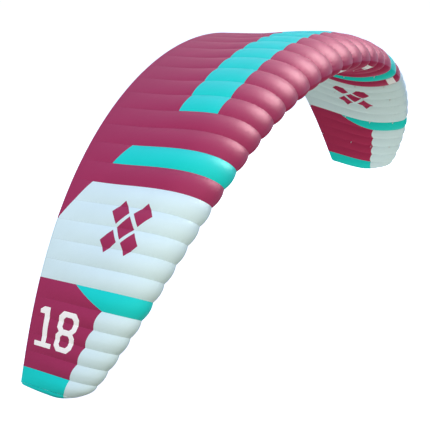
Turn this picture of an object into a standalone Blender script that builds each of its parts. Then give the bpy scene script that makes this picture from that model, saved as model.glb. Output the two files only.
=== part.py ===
"""A ram-air foil kite of 18 square metres, modelled as its sewn pieces.

Units are metres. The leading edge faces -Y, the trailing edge +Y, +Z is up, and the span runs along X.
The origin lies on the plane of symmetry, on the lower cloth at the second row of line tabs.

Places along the span are given as stations: station 0 is the tip rib at -X, and each whole number after it is
the next rib. Places along a rib are given as chord shares: 0 at the leading edge and 1 at the trailing edge.
"""

import math
from collections import namedtuple

import bmesh
import bpy
from mathutils import Matrix, Vector

# Plan of the wing, laid flat
HALF_SPAN = 4.97
CENTRE_CHORD = 2.13
CHORD_LOSS_SHARES = (0.311, 0.234)
TIP_SWEEP = 1.21
SWEEP_SHARES = (0.653, 0.347)
TIP_ROUNDING = 0.14
CELLS = 41
CELL_FACETS = 4
CELL_NARROWING_SHARE = 0.1145

# Arc of the wing seen from the front, and the twist of its ribs
TIP_ANGLE = math.radians(65.2)
ARC_SHARES = (1.224, -0.077, -0.147)
CENTRE_TWIST = math.radians(-4.8)
TWIST_GAIN = math.radians(9.4)
TWIST_LOSS = math.radians(4.5)

# Profile of a rib: class-shape weights of its upper and lower side
UPPER_SIDE_SHARES = (0.397, 0.264, 0.025)
LOWER_SIDE_SHARES = (0.217, 0.395, 0.059)
TIP_THINNING_SHARE = 0.269
STATION_SHARES = (0, 0.012, 0.045, 0.115, 0.25, 0.45, 0.7, 1)
INNER_RIB_END_SHARE = 0.94
BILLOW_SHARE = 0.1

# Cloth, seams and clearances
SKIN_CLOTH = 0.002
MAIN_RIB_CLOTH = 0.002
INNER_RIB_CLOTH = 0.0015
BRACE_CLOTH = 0.0015
SEAM_GAP = 0.0003
INNER_RIB_INSET = 0.001
CUT_OVERRUN = 0.04

# Ribs that carry line tabs, counted from each tip, and what is cut or sewn on them
MAIN_RIBS = (3, 6, 9, 11, 13, 16, 19)
TAB_ROW_SHARES = (0.1, 0.32, 0.58, 0.98)
TAB_WIDTH = 0.016
TAB_END_WIDTH = 0.012
TAB_DROP = 0.028
TAB_EYE_LENGTH = 0.013
TAB_EYE_WIDTH = 0.003
TAB_EYE_FROM_END = 0.004
PORT_SHARES = (0.22, 0.5)
PORT_HEIGHT_SHARE = 0.3
PORT_LENGTH_SHARE = 0.45
PORT_SIDES = 6
BRACE_FRONT_SHARE = 0.15
BRACE_BACK_SHARE = 0.6
BRACE_SEAM_INSET = 0.02
BRACE_BITE_SHARE = 0.35

# Air inlets: the cells that have one, counted from each tip, and the one-way valve inside each
INLET_CELLS = (12, 16, 19)
INLET_FRONT_SHARE = 0.02
INLET_LENGTH = 0.065
INLET_SIDE_MARGIN = 0.016
VALVE_LAP = 0.01
VALVE_CLOTH = 0.0015
VALVE_SEAT_GAP = 0.0012

# Deflation zip on the lower cloth at the trailing edge of the middle cell
ZIP_SHARE = 0.985
ZIP_LENGTH = 0.21
ZIP_TAPE_WIDTH = 0.028
ZIP_TAPE_CLOTH = 0.0012
ZIP_COIL_WIDTH = 0.006
ZIP_COIL_HEIGHT = 0.0024
SLIDER_LENGTH = 0.014
SLIDER_WALL = 0.0014
SLIDER_END_MARGIN = 0.004
PULL_LENGTH = 0.024
PULL_WIDTH = 0.007
PULL_CLOTH = 0.0012

# Cloth panels: the cells of each, counted from each tip, and their limits along the chord, as shares
EDGE_CELL = 1
TIP_CELLS_END = 5
SLANTED_CELL = 6
PALE_CELLS_END = 11
STRIPE_CELL = 13
BAND_FIRST_CELL = 16
TIP_FRONT_SHARE = 0.295
STRIPE_BACK_SHARE = 0.7
BAND_FRONT_SHARE = 0.245
BAND_BACK_SHARE = 0.51

MAGENTA = (0.37, 0.05, 0.12)
TURQUOISE = (0.03, 0.62, 0.62)
PALE = (0.74, 0.84, 0.87)
RIB_WHITE = (0.8, 0.8, 0.78)
WEBBING_BLACK = (0.03, 0.03, 0.035)

Rib = namedtuple("Rib", "nose back up along chord fullness")


def clear_scene():
    for thing in list(bpy.data.objects):
        bpy.data.objects.remove(thing, do_unlink=True)
    for mesh in list(bpy.data.meshes):
        bpy.data.meshes.remove(mesh)


def make_collection(name):
    collection = bpy.data.collections.new(name)
    bpy.context.scene.collection.children.link(collection)
    return collection


def make_material(name, colour, roughness=0.5, metallic=0.0):
    material = bpy.data.materials.new(name)
    material.use_nodes = True
    shader = material.node_tree.nodes["Principled BSDF"]
    shader.inputs["Base Color"].default_value = (*colour, 1.0)
    shader.inputs["Roughness"].default_value = roughness
    shader.inputs["Metallic"].default_value = metallic
    material.diffuse_color = (*colour, 1.0)
    return material


# Shape of the wing

def span_share(station):
    """Share of the half span at a station, -1 and 1 at the tips, with narrower cells near them."""
    place = 2 * station / CELLS - 1
    return (1 + CELL_NARROWING_SHARE) * place - CELL_NARROWING_SHARE * place ** 3


def arc_angle(share):
    first, third, fifth = ARC_SHARES
    return TIP_ANGLE * (first * share + third * share ** 3 + fifth * share ** 5)


def arc_place(share, steps=48):
    """Sideways and upward place of the arc, summed along it from the middle."""
    sideways = upward = 0.0
    for step in range(steps):
        angle = arc_angle(share * (step + 0.5) / steps)
        sideways += math.cos(angle)
        upward -= math.sin(angle)
    return HALF_SPAN * share * sideways / steps, HALF_SPAN * share * upward / steps


def rib_at(station):
    """Nose point, directions and size of the profile at a station, which need not be a whole number."""
    share = span_share(station)
    angle = arc_angle(share)
    twist = CENTRE_TWIST + TWIST_GAIN * share ** 2 - TWIST_LOSS * share ** 4
    across = Vector((math.sin(angle), 0, math.cos(angle)))
    rearward = Vector((0, 1, 0))
    back = rearward * math.cos(twist) - across * math.sin(twist)
    up = across * math.cos(twist) + rearward * math.sin(twist)
    chord = CENTRE_CHORD * (1 - CHORD_LOSS_SHARES[0] * share ** 2 - CHORD_LOSS_SHARES[1] * share ** 4)
    sweep = TIP_SWEEP * (SWEEP_SHARES[0] * share ** 2 + SWEEP_SHARES[1] * share ** 4)
    sideways, upward = arc_place(share)
    tip_cut = TIP_ROUNDING * max(0.0, 1 - min(station, CELLS - station)) ** 2
    nose = Vector((sideways, sweep, upward)) + back * tip_cut
    fullness = 1 - TIP_THINNING_SHARE * share ** 2
    return Rib(nose, back, up, back.cross(up), chord - tip_cut, fullness)


def cell_width(station):
    ahead, behind = span_share(station + 0.5), span_share(station - 0.5)
    return HALF_SPAN * (ahead - behind)


def side_height(rib, share, side):
    """Height of the cloth's outer face above the chord line (side 1) or below it (side -1)."""
    front, middle, rear = UPPER_SIDE_SHARES if side > 0 else LOWER_SIDE_SHARES
    form = front * (1 - share) ** 2 + 2 * middle * share * (1 - share) + rear * share ** 2
    height = rib.chord * rib.fullness * math.sqrt(share) * (1 - share) * form
    return side * (height + share * SKIN_CLOTH + SEAM_GAP / 2)


def side_normal(rib, share, side, step_share=0.0005):
    """Outward direction in the rib's own plane, as its chordwise and upward parts."""
    if share == 0:
        return Vector((-1, 0))
    before, after = max(share - step_share, 0), min(share + step_share, 1)
    rise = side_height(rib, after, side) - side_height(rib, before, side)
    run = (after - before) * rib.chord
    return Vector((-rise * side, run * side)).normalized()


def side_point(station, share, side, inward=0.0):
    """Chordwise and upward place of the cloth at a station, moved inward from its outer face."""
    rib = rib_at(station)
    part = station % 1
    billow = 4 * part * (1 - part) * BILLOW_SHARE * cell_width(station) * (1 - share ** 2)
    outer = Vector((share * rib.chord, side_height(rib, share, side)))
    return outer + side_normal(rib, share, side) * (billow - inward)


def between_stations(station, share, side, inward=0.0):
    """The same on the faceted cloth, between two of the chord shares that carry its vertices."""
    shares = STATION_SHARES
    index = max(i for i in range(len(shares) - 1) if shares[i] <= share)
    part = (share - shares[index]) / (shares[index + 1] - shares[index])
    first = side_point(station, shares[index], side, inward)
    return first.lerp(side_point(station, shares[index + 1], side, inward), part)


def in_space(station, point, shift=0.0):
    rib = rib_at(station)
    return rib.nose + rib.back * point[0] + rib.up * point[1] + rib.along * shift - origin_point()


def lower_cloth_point(station, share, inward=0.0):
    """Point of the lower cloth, on the flat facet that holds it, moved inward from the outer face."""
    before = math.floor(station * CELL_FACETS) / CELL_FACETS
    after = before + 1 / CELL_FACETS
    ends = [in_space(edge, between_stations(edge, share, -1, inward)) for edge in (before, after)]
    return ends[0].lerp(ends[1], (station - before) * CELL_FACETS)


def origin_point():
    middle = rib_at(CELLS / 2)
    share = TAB_ROW_SHARES[1]
    return middle.nose + middle.back * share * middle.chord + middle.up * side_height(middle, share, -1)


def from_each_tip(stations, whole=CELLS):
    """The same count from the other tip added, with the side of the pilot that each one lies on."""
    near = [(f"r{number + 1}", station) for number, station in enumerate(stations)]
    far = [(f"l{number + 1}", whole - station) for number, station in enumerate(stations)]
    return near + far


# Building pieces

def finish_mesh(name, shape, collection, materials):
    mesh = bpy.data.meshes.new(name)
    bmesh.ops.triangulate(shape, faces=shape.faces)
    bmesh.ops.recalc_face_normals(shape, faces=shape.faces)
    if shape.calc_volume(signed=True) < 0:
        bmesh.ops.reverse_faces(shape, faces=shape.faces)
    shape.to_mesh(mesh)
    shape.free()
    piece = bpy.data.objects.new(name, mesh)
    for material in materials:
        mesh.materials.append(material)
    collection.objects.link(piece)
    return piece


def plate_from_loops(name, loops, thickness, station, collection, material):
    """A flat sheet in a rib's plane: the first loop is its outline and the others are holes."""
    curve = bpy.data.curves.new(name + "_outline", "CURVE")
    curve.dimensions = "2D"
    curve.fill_mode = "BOTH"
    curve.extrude = thickness / 2
    for loop in loops:
        spline = curve.splines.new("POLY")
        spline.points.add(len(loop) - 1)
        for point, place in zip(spline.points, loop):
            point.co = (place[0], place[1], 0, 1)
        spline.use_cyclic_u = True
    drawn = bpy.data.objects.new(name + "_drawn", curve)
    collection.objects.link(drawn)
    evaluated = drawn.evaluated_get(bpy.context.evaluated_depsgraph_get())
    mesh = bpy.data.meshes.new_from_object(evaluated)
    bpy.data.objects.remove(drawn, do_unlink=True)
    shape = bmesh.new()
    shape.from_mesh(mesh)
    bpy.data.meshes.remove(mesh)
    bmesh.ops.remove_doubles(shape, verts=shape.verts, dist=thickness / 100)
    piece = finish_mesh(name, shape, collection, [material])
    piece.matrix_world = rib_matrix(station)
    return piece


def rib_matrix(station):
    rib = rib_at(station)
    turn = Matrix((rib.back, rib.up, rib.along)).transposed()
    return Matrix.Translation(rib.nose - origin_point()) @ turn.to_4x4()


def make_box(name, low, high, matrix, collection, material):
    shape = bmesh.new()
    bmesh.ops.create_cube(shape, size=1)
    bmesh.ops.scale(shape, vec=[b - a for a, b in zip(low, high)], verts=shape.verts)
    bmesh.ops.translate(shape, vec=[(a + b) / 2 for a, b in zip(low, high)], verts=shape.verts)
    piece = finish_mesh(name, shape, collection, [material])
    piece.matrix_world = matrix
    return piece


def hide_tool(piece):
    piece.hide_render = True
    piece.display_type = "WIRE"


def combine(piece, tool, operation):
    hide_tool(tool)
    change = piece.modifiers.new(tool.name, "BOOLEAN")
    change.operation = operation
    change.solver = "EXACT"
    change.object = tool


# Skins

def panel_colour(cell, share, side):
    """Index of the colour of a cell's cloth at a chord share."""
    magenta, turquoise, pale = range(3)
    cell = min(cell, CELLS + 1 - cell)
    if cell <= TIP_CELLS_END and share < TIP_FRONT_SHARE or SLANTED_CELL < cell <= PALE_CELLS_END:
        return pale
    turquoise_here = (
        cell == EDGE_CELL
        or cell == SLANTED_CELL and share < BAND_BACK_SHARE
        or cell == STRIPE_CELL and share < STRIPE_BACK_SHARE
        or cell >= BAND_FIRST_CELL and side > 0 and BAND_FRONT_SHARE < share < BAND_BACK_SHARE
    )
    return turquoise if turquoise_here else magenta


def skin_stations(first, last):
    return [first + facet / CELL_FACETS for facet in range(CELL_FACETS * (last - first) + 1)]


def make_skin(name, first, last, side, collection, fabrics):
    """One sewn section of cloth between two main ribs: a billowing sheet lofted over its stations."""
    recess = MAIN_RIB_CLOTH / 2 + SEAM_GAP
    shape = bmesh.new()
    sheets = []
    for inward in (0, SKIN_CLOTH):
        rows = []
        for station in skin_stations(first, last):
            shift = recess * ((station == first) - (station == last))
            places = [side_point(station, share, side, inward) for share in STATION_SHARES]
            rows.append([shape.verts.new(in_space(station, place, shift)) for place in places])
        sheets.append(rows)
    outer, inner = sheets
    spans, chords = len(outer) - 1, len(STATION_SHARES) - 1
    for i in range(spans):
        cell = first + i // CELL_FACETS + 1
        for k in range(chords):
            middle = (STATION_SHARES[k] + STATION_SHARES[k + 1]) / 2
            for sheet in sheets:
                corners = (sheet[i][k], sheet[i][k + 1], sheet[i + 1][k + 1], sheet[i + 1][k])
                shape.faces.new(corners).material_index = panel_colour(cell, middle, side)
        for k in (0, chords):
            shape.faces.new((outer[i][k], outer[i + 1][k], inner[i + 1][k], inner[i][k]))
    for i in (0, spans):
        for k in range(chords):
            shape.faces.new((outer[i][k], outer[i][k + 1], inner[i][k + 1], inner[i][k]))
    return finish_mesh(name, shape, collection, fabrics)


# Ribs

def lower_outline_with_tabs(station):
    """Lower side of a main rib from nose to trailing edge, with its line tabs standing out of the seam."""
    chord = rib_at(station).chord
    points = [(share, side_point(station, share, -1)) for share in STATION_SHARES[1:]]
    for row_share in TAB_ROW_SHARES:
        for half_width, drop in ((-TAB_WIDTH, 0), (-TAB_END_WIDTH, 1), (TAB_END_WIDTH, 1), (TAB_WIDTH, 0)):
            share = row_share + half_width / 2 / chord
            foot = between_stations(station, share, -1)
            points.append((share, foot if drop == 0 else tab_end(station, row_share, half_width / 2)))
    return [point for share, point in sorted(points, key=lambda pair: pair[0])]


def tab_end(station, row_share, aside):
    foot = between_stations(station, row_share, -1)
    return foot + Vector((aside, -TAB_DROP))


def tab_eye(station, row_share):
    low = tab_end(station, row_share, 0).y + TAB_EYE_FROM_END
    middle = between_stations(station, row_share, -1).x
    high = low + TAB_EYE_LENGTH
    left, right = middle - TAB_EYE_WIDTH / 2, middle + TAB_EYE_WIDTH / 2
    return [(left, low), (right, low), (right, high), (left, high)]


def port_loops(station):
    """Openings that let air pass from cell to cell."""
    loops = []
    for share in PORT_SHARES:
        high, low = (between_stations(station, share, side).y for side in (1, -1))
        middle = Vector((share * rib_at(station).chord, (high + low) / 2))
        height = PORT_HEIGHT_SHARE * (high - low)
        loop = []
        for corner in range(PORT_SIDES):
            angle = 2 * math.pi * corner / PORT_SIDES
            reach = Vector((math.cos(angle) * PORT_LENGTH_SHARE * (high - low), math.sin(angle) * height))
            loop.append(middle + reach)
        loops.append(loop)
    return loops


def make_main_rib(name, station, with_tabs, collection, material):
    """Profile plate flush with the skins' outer faces; one without tabs closes a tip, so it has no ports."""
    upper = [side_point(station, share, 1) for share in reversed(STATION_SHARES[1:])]
    lower = [side_point(station, share, -1) for share in STATION_SHARES[1:]]
    holes = []
    if with_tabs:
        lower = lower_outline_with_tabs(station)
        holes = port_loops(station) + [tab_eye(station, share) for share in TAB_ROW_SHARES]
    outline = upper + [Vector((0, 0))] + lower
    return plate_from_loops(name, [outline] + holes, MAIN_RIB_CLOTH, station, collection, material)


def make_inner_rib(name, station, collection, material):
    inward = SKIN_CLOTH + INNER_RIB_INSET
    shares = [share for share in STATION_SHARES[1:] if share < INNER_RIB_END_SHARE] + [INNER_RIB_END_SHARE]
    upper = [between_stations(station, share, 1, inward) for share in reversed(shares)]
    lower = [between_stations(station, share, -1, inward) for share in shares]
    nose = Vector((inward, 0))
    loops = [upper + [nose] + lower] + port_loops(station)
    return plate_from_loops(name, loops, INNER_RIB_CLOTH, station, collection, material)


def make_brace(name, main_station, inner_station, collection, material):
    """Diagonal sheet from the bottom of a main rib to the top of the rib beside it."""
    corners = []
    inward = SKIN_CLOTH + BRACE_SEAM_INSET
    bite = MAIN_RIB_CLOTH * BRACE_BITE_SHARE * (inner_station - main_station)
    for station, side, shift in ((main_station, -1, bite), (inner_station, 1, 0)):
        for share in (BRACE_FRONT_SHARE, BRACE_BACK_SHARE):
            corners.append(in_space(station, between_stations(station, share, side, inward), shift))
    low_front, low_back, high_front, high_back = corners
    face = (low_back - low_front).cross(high_front - low_front).normalized() * BRACE_CLOTH / 2
    shape = bmesh.new()
    sheets = []
    for offset in (face, -face):
        loop = (low_front, low_back, high_back, high_front)
        sheets.append([shape.verts.new(corner + offset) for corner in loop])
    for sheet in sheets:
        shape.faces.new(sheet)
    for i in range(len(sheets[0])):
        shape.faces.new((sheets[0][i - 1], sheets[0][i], sheets[1][i], sheets[1][i - 1]))
    return finish_mesh(name, shape, collection, [material])


def make_rib_set(name, station, inner_stations, with_tabs, parts, tools, material):
    """A rib that shows at the skins' seams, sewn by diagonal braces to the inner ribs beside it."""
    rib = make_main_rib(name, station, with_tabs, parts, material)
    for inner in inner_stations:
        label = f"{name}_{'before' if inner < station else 'after'}"
        combine(rib, make_inner_rib(label + "_rib", inner, tools, material), "UNION")
        combine(rib, make_brace(label + "_brace", station, inner, tools, material), "UNION")
    return rib


# Inlets and their valves

def inlet_corners(cell, lap, inward):
    """Corners of the inlet, grown by a lap: front ones first, each pair from -X to +X."""
    middle = cell - 0.5
    chord = rib_at(middle).chord
    shares = (INLET_FRONT_SHARE - lap / chord, INLET_FRONT_SHARE + (INLET_LENGTH + lap) / chord)
    reach = 0.5 - (INLET_SIDE_MARGIN - lap) / cell_width(middle)
    stations = (middle - reach, middle + reach)
    return [lower_cloth_point(station, share, inward) for share in shares for station in stations]


def inlet_matrix(corners):
    """Frame on the middle of the front edge: X back, Y inward and Z along that edge."""
    front, rear = (corners[0] + corners[1]) / 2, (corners[2] + corners[3]) / 2
    along = (corners[1] - corners[0]).normalized()
    inward = along.cross(rear - front).normalized()
    turn = Matrix((inward.cross(along), inward, along)).transposed()
    return Matrix.Translation(front) @ turn.to_4x4()


def make_prism(name, corners, start, end, collection, material):
    """Four corners flattened into their frame's plane and drawn from one height over it to another."""
    matrix = inlet_matrix(corners)
    flat = [matrix.inverted() @ corner for corner in corners]
    order = (0, 1, 3, 2)
    shape = bmesh.new()
    sheets = [[shape.verts.new((flat[i].x, height, flat[i].z)) for i in order] for height in (start, end)]
    for sheet in sheets:
        shape.faces.new(sheet)
    for i in range(len(order)):
        shape.faces.new((sheets[0][i - 1], sheets[0][i], sheets[1][i], sheets[1][i - 1]))
    piece = finish_mesh(name, shape, collection, [material])
    piece.matrix_world = matrix
    return piece


def cut_inlet(skin, name, cell, tools, material):
    corners = inlet_corners(cell, 0, 0)
    combine(skin, make_prism(name, corners, -CUT_OVERRUN, CUT_OVERRUN, tools, material), "DIFFERENCE")


def make_valve(name, cell, collection, material):
    """A stiffened cloth flap that lies on the inlet from inside and swings inward about its front edge."""
    corners = inlet_corners(cell, VALVE_LAP, SKIN_CLOTH)
    top = VALVE_SEAT_GAP + VALVE_CLOTH
    return make_prism(name, corners, VALVE_SEAT_GAP, top, collection, material)


# Deflation zip

def zip_matrix():
    """Frame of the zip: X along the zip, Y forward along the cloth and Z outward from the lower cloth."""
    station = CELLS / 2
    front = ZIP_SHARE - ZIP_TAPE_WIDTH / 2 / CENTRE_CHORD
    back = ZIP_SHARE + ZIP_TAPE_WIDTH / 2 / CENTRE_CHORD
    ends = [lower_cloth_point(station, share) for share in (front, back)]
    forward = (ends[0] - ends[1]).normalized()
    along = rib_at(station).along
    outward = along.cross(forward)
    middle = (ends[0] + ends[1]) / 2
    lowest = 0.0
    for reach in (1 / CELL_FACETS, ZIP_LENGTH / 2 / cell_width(station)):
        for share in (front, back):
            place = lower_cloth_point(station + reach, share)
            lowest = max(lowest, (place - middle).dot(outward))
    turn = Matrix((along, forward, outward)).transposed()
    return Matrix.Translation(middle + outward * (lowest + SEAM_GAP)) @ turn.to_4x4()


def make_zip(collection, material):
    """Straight tape with the raised coil along its middle."""
    half_length, half_tape, half_coil = ZIP_LENGTH / 2, ZIP_TAPE_WIDTH / 2, ZIP_COIL_WIDTH / 2
    rise = ZIP_TAPE_CLOTH + ZIP_COIL_HEIGHT
    section = [(-half_tape, 0), (half_tape, 0), (half_tape, ZIP_TAPE_CLOTH), (half_coil, ZIP_TAPE_CLOTH),
               (half_coil, rise), (-half_coil, rise), (-half_coil, ZIP_TAPE_CLOTH), (-half_tape, ZIP_TAPE_CLOTH)]
    return make_bar("deflation_zip", section, -half_length, half_length, collection, material)


def make_bar(name, section, start, end, collection, material):
    """A section drawn across the zip and drawn out along it."""
    shape = bmesh.new()
    loop = [shape.verts.new((start, across, out)) for across, out in section]
    face = shape.faces.new(loop)
    drawn = bmesh.ops.extrude_face_region(shape, geom=[face])
    moved = [item for item in drawn["geom"] if isinstance(item, bmesh.types.BMVert)]
    bmesh.ops.translate(shape, vec=(end - start, 0, 0), verts=moved)
    piece = finish_mesh(name, shape, collection, [material])
    piece.matrix_world = zip_matrix()
    return piece


def make_slider(parts, tools, material):
    """Channel that rides on the coil, with its pull tab."""
    start = -ZIP_LENGTH / 2 + SLIDER_END_MARGIN
    bore = ZIP_COIL_WIDTH / 2 + SEAM_GAP
    outside = bore + SLIDER_WALL
    foot = ZIP_TAPE_CLOTH + SEAM_GAP
    roof = ZIP_TAPE_CLOTH + ZIP_COIL_HEIGHT + SEAM_GAP
    top = roof + SLIDER_WALL
    section = [(-outside, foot), (-bore, foot), (-bore, roof), (bore, roof), (bore, foot), (outside, foot),
               (outside, top), (-outside, top)]
    slider = make_bar("zip_slider", section, start, start + SLIDER_LENGTH, parts, material)
    middle = start + SLIDER_LENGTH / 2
    low = (middle - PULL_CLOTH / 2, -PULL_WIDTH / 2, top - SLIDER_WALL / 2)
    high = (middle + PULL_CLOTH / 2, PULL_WIDTH / 2, top + PULL_LENGTH)
    combine(slider, make_box("zip_slider_pull", low, high, zip_matrix(), tools, material), "UNION")
    return slider


def rib_set_stations():
    """Each main rib with the inner ribs that its braces reach, so that every inner rib is held once."""
    main = {0, CELLS} | {station for label, station in from_each_tip(MAIN_RIBS)}
    taken = set(main)
    sets = {}
    for station in sorted(main, key=lambda place: abs(place - CELLS / 2)):
        beside = [place for place in (station - 1, station + 1) if 0 < place < CELLS and place not in taken]
        taken.update(beside)
        sets[station] = beside
    return sets


def main():
    clear_scene()
    parts = make_collection("foil_kite")
    tools = make_collection("cutters")
    fabrics = [make_material("magenta_ripstop", MAGENTA), make_material("turquoise_ripstop", TURQUOISE),
               make_material("pale_ripstop", PALE)]
    rib_cloth = make_material("rib_cloth", RIB_WHITE, roughness=0.6)
    valve_cloth = make_material("valve_cloth", RIB_WHITE, roughness=0.7)
    zip_black = make_material("zip_black", WEBBING_BLACK, roughness=0.45)

    sets = rib_set_stations()
    for label, station in from_each_tip(MAIN_RIBS):
        make_rib_set(f"main_rib_{label}", station, sets[station], True, parts, tools, rib_cloth)
    for label, station in (("r", 0), ("l", CELLS)):
        make_rib_set(f"tip_rib_{label}", station, sets[station], False, parts, tools, rib_cloth)

    edges = [0, *MAIN_RIBS]
    sections = [("mid", MAIN_RIBS[-1], CELLS - MAIN_RIBS[-1])]
    for number, (first, last) in enumerate(zip(edges, edges[1:]), start=1):
        sections.append((f"r{number}", first, last))
        sections.append((f"l{number}", CELLS - last, CELLS - first))
    inlets = from_each_tip(INLET_CELLS, CELLS + 1)
    for label, first, last in sections:
        make_skin(f"upper_skin_{label}", first, last, 1, parts, fabrics)
        lower = make_skin(f"lower_skin_{label}", first, last, -1, parts, fabrics)
        for inlet, cell in inlets:
            if first < cell <= last:
                cut_inlet(lower, f"inlet_cut_{inlet}", cell, tools, rib_cloth)
    for inlet, cell in inlets:
        make_valve(f"inlet_valve_{inlet}", cell, parts, valve_cloth)

    make_zip(parts, zip_black)
    make_slider(parts, tools, zip_black)


main()
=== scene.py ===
"""Foil kite: the canopy of a ram-air kite in flight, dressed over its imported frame.

Units are metres. The leading edge faces -Y, the trailing edge +Y, and the span runs along X.
A station counts ribs from the tip at -X, and cell 1 lies between stations 0 and 1.
A share is a place along a rib: 0 at the nose and 1 at the trailing edge.
"""

import math
from collections import namedtuple
from functools import lru_cache

import bmesh
import bpy
from mathutils import Matrix, Vector


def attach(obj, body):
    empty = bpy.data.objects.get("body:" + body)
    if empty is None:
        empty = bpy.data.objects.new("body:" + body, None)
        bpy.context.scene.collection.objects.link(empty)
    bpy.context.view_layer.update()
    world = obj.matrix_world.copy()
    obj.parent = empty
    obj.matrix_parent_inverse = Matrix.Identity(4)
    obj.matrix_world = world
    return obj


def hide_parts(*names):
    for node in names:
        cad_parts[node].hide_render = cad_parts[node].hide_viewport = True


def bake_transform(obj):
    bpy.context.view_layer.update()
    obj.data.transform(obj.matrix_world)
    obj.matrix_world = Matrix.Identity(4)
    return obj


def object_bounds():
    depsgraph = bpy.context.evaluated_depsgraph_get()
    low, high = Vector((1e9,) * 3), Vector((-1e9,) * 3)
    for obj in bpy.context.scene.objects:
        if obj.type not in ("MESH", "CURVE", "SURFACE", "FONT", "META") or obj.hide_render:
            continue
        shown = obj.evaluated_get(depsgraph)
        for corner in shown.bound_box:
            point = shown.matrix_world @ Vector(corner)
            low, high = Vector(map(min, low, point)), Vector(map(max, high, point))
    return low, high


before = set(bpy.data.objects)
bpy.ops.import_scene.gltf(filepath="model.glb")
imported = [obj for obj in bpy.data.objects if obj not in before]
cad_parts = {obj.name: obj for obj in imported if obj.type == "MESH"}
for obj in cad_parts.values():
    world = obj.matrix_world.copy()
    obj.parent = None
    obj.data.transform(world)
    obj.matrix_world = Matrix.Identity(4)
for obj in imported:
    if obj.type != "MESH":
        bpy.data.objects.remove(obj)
cad_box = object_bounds()


# Upper and lower cloth
# Ripstop panels of 41 cells, cut wider than the ribs are apart, so that each cell billows between its seams.
# They are sewn in sections from one load-carrying rib to the next, and coloured panels are pieced into them.

HALF_SPAN = 4.97
CENTRE_CHORD = 2.13
CHORD_LOSS_SHARES = (0.311, 0.234)
TIP_SWEEP = 1.21
SWEEP_SHARES = (0.653, 0.347)
TIP_ROUNDING = 0.14
CELLS = 41
CELL_NARROWING_SHARE = 0.1145
TIP_ANGLE = math.radians(65.2)
ARC_SHARES = (1.224, -0.077, -0.147)
CENTRE_TWIST = math.radians(-4.8)
TWIST_GAIN = math.radians(9.4)
TWIST_LOSS = math.radians(4.5)
UPPER_SIDE_SHARES = (0.397, 0.264, 0.025)
LOWER_SIDE_SHARES = (0.217, 0.395, 0.059)
TIP_THINNING_SHARE = 0.269
EASED_FROM_SHARE = 0.5
STRAIGHT_FROM_SHARE = 0.7
REAR_EASING = 0.03
EDGE_HALF_THICKNESS = 0.00215
BILLOW_SHARE = 0.1
BILLOW_LENGTH_GAIN = 1 + 8 / 3 * BILLOW_SHARE ** 2
ORIGIN_FROM_NOSE = Vector((0, 0.69836, -0.17096))
MAIN_RIBS = (3, 6, 9, 11, 13, 16, 19)
CLOTH_LIFT = 0.0008

COLUMNS_PER_CELL = 12
ROWS = 64
ROW_CROWDING = 1.8
ROW_SHARES = [(row / ROWS) ** ROW_CROWDING for row in range(ROWS + 1)]
TINY, CUT_SNAP, SEAM_SNAP = 1e-6, 1e-5, 1e-4

INLET_CELLS = (12, 16, 19)
INLET_FRONT_SHARE = 0.02
INLET_LENGTH = 0.065
INLET_SIDE_MARGIN = 0.016

Rib = namedtuple("Rib", "nose back up along chord fullness")


def span_share(station):
    """Share of the half span, -1 and 1 at the tips, with narrower cells near them."""
    place = 2 * station / CELLS - 1
    return (1 + CELL_NARROWING_SHARE) * place - CELL_NARROWING_SHARE * place ** 3


def arc_angle(share):
    first, third, fifth = ARC_SHARES
    return TIP_ANGLE * (first * share + third * share ** 3 + fifth * share ** 5)


def arc_place(share, steps=48):
    sideways = upward = 0.0
    for step in range(steps):
        angle = arc_angle(share * (step + 0.5) / steps)
        sideways += math.cos(angle)
        upward -= math.sin(angle)
    return HALF_SPAN * share * sideways / steps, HALF_SPAN * share * upward / steps


@lru_cache(maxsize=None)
def rib_at(station):
    """Nose point, directions and size of the profile at a station, which need not be a whole number."""
    share = span_share(station)
    angle = arc_angle(share)
    twist = CENTRE_TWIST + TWIST_GAIN * share ** 2 - TWIST_LOSS * share ** 4
    across = Vector((math.sin(angle), 0, math.cos(angle)))
    rearward = Vector((0, 1, 0))
    back = rearward * math.cos(twist) - across * math.sin(twist)
    up = across * math.cos(twist) + rearward * math.sin(twist)
    chord = CENTRE_CHORD * (1 - CHORD_LOSS_SHARES[0] * share ** 2 - CHORD_LOSS_SHARES[1] * share ** 4)
    sweep = TIP_SWEEP * (SWEEP_SHARES[0] * share ** 2 + SWEEP_SHARES[1] * share ** 4)
    sideways, upward = arc_place(share)
    tip_cut = TIP_ROUNDING * max(0.0, 1 - min(station, CELLS - station)) ** 2
    nose = Vector((sideways, sweep, upward)) + back * tip_cut
    return Rib(nose, back, up, back.cross(up), chord - tip_cut, 1 - TIP_THINNING_SHARE * share ** 2)


@lru_cache(maxsize=None)
def cell_width(station):
    return HALF_SPAN * (span_share(station + 0.5) - span_share(station - 0.5))


def curved_height(rib, share, side):
    front, middle, rear = UPPER_SIDE_SHARES if side > 0 else LOWER_SIDE_SHARES
    form = front * (1 - share) ** 2 + 2 * middle * share * (1 - share) + rear * share ** 2
    return rib.chord * rib.fullness * math.sqrt(share) * (1 - share) * form + EDGE_HALF_THICKNESS * share


def profile_height(rib, share, side):
    """Height over the chord line: the curved profile, eased into a straight rear part."""
    curved = curved_height(rib, share, side)
    if share <= EASED_FROM_SHARE:
        return side * curved
    knee = curved_height(rib, STRAIGHT_FROM_SHARE, side)
    rear_part = (1 - share) / (1 - STRAIGHT_FROM_SHARE)
    straight = EDGE_HALF_THICKNESS + (knee - EDGE_HALF_THICKNESS) * rear_part
    start = min((share - EASED_FROM_SHARE) / (STRAIGHT_FROM_SHARE - EASED_FROM_SHARE), 1)
    easing = REAR_EASING * (1 - share) * start
    return side * (curved + straight + math.sqrt((curved - straight) ** 2 + easing ** 2)) / 2


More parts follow.
